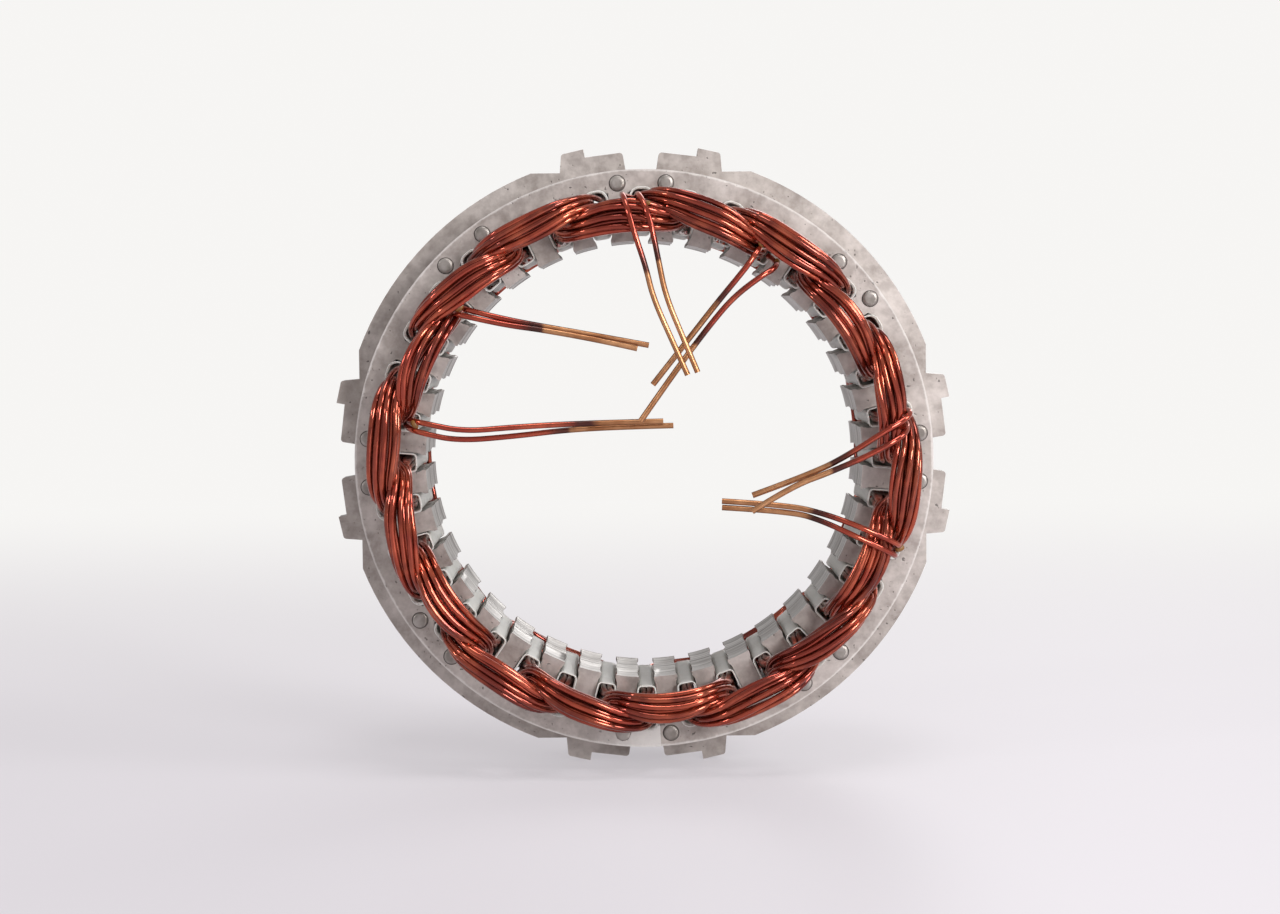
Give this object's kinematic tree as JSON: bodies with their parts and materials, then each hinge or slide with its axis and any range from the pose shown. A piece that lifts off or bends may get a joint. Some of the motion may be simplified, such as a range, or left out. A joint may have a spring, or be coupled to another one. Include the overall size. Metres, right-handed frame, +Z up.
{
  "type": "alternator stator core with winding",
  "caption": "Slotted steel ring in three packs with lugs and bolt gaps on its flange, rivets, film slot liners and a copper wave winding with stripped lead tails.",
  "frame": {"origin": "on the bore axis at the middle of the core's length", "axes": "+Y along the bore axis, away from the connection side, which faces -Y; +Z up through a bolt gap, with the ring standing on its two lowest lugs"},
  "size_m": [0.1488, 0.064, 0.1488],
  "materials": {
    "core_steel": "dull stamped electrical steel, handled, warm grey",
    "rivet_steel": "bright rolled steel ends",
    "liner_film": "thin milky polyester film",
    "enamelled_copper": "dark red-brown glossy enamel over copper wire, ends scraped bare"
  },
  "bodies": {
    "root": {"flange_pack": "core_steel", "front_core": "core_steel", "phase_a_winding": "enamelled_copper", "phase_b_winding": "enamelled_copper", "phase_c_winding": "enamelled_copper", "rear_core": "core_steel", "rivets": "rivet_steel", "slot_liner_00": "liner_film", "slot_liner_01": "liner_film", "slot_liner_02": "liner_film", "slot_liner_03": "liner_film", "slot_liner_04": "liner_film", "slot_liner_05": "liner_film", "slot_liner_06": "liner_film", "slot_liner_07": "liner_film", "slot_liner_08": "liner_film", "slot_liner_09": "liner_film", "slot_liner_10": "liner_film", "slot_liner_11": "liner_film", "slot_liner_12": "liner_film", "slot_liner_13": "liner_film", "slot_liner_14": "liner_film", "slot_liner_15": "liner_film", "slot_liner_16": "liner_film", "slot_liner_17": "liner_film", "slot_liner_18": "liner_film", "slot_liner_19": "liner_film", "slot_liner_20": "liner_film", "slot_liner_21": "liner_film", "slot_liner_22": "liner_film", "slot_liner_23": "liner_film", "slot_liner_24": "liner_film", "slot_liner_25": "liner_film", "slot_liner_26": "liner_film", "slot_liner_27": "liner_film", "slot_liner_28": "liner_film", "slot_liner_29": "liner_film", "slot_liner_30": "liner_film", "slot_liner_31": "liner_film", "slot_liner_32": "liner_film", "slot_liner_33": "liner_film", "slot_liner_34": "liner_film", "slot_liner_35": "liner_film"}
  },
  "joints": []
}
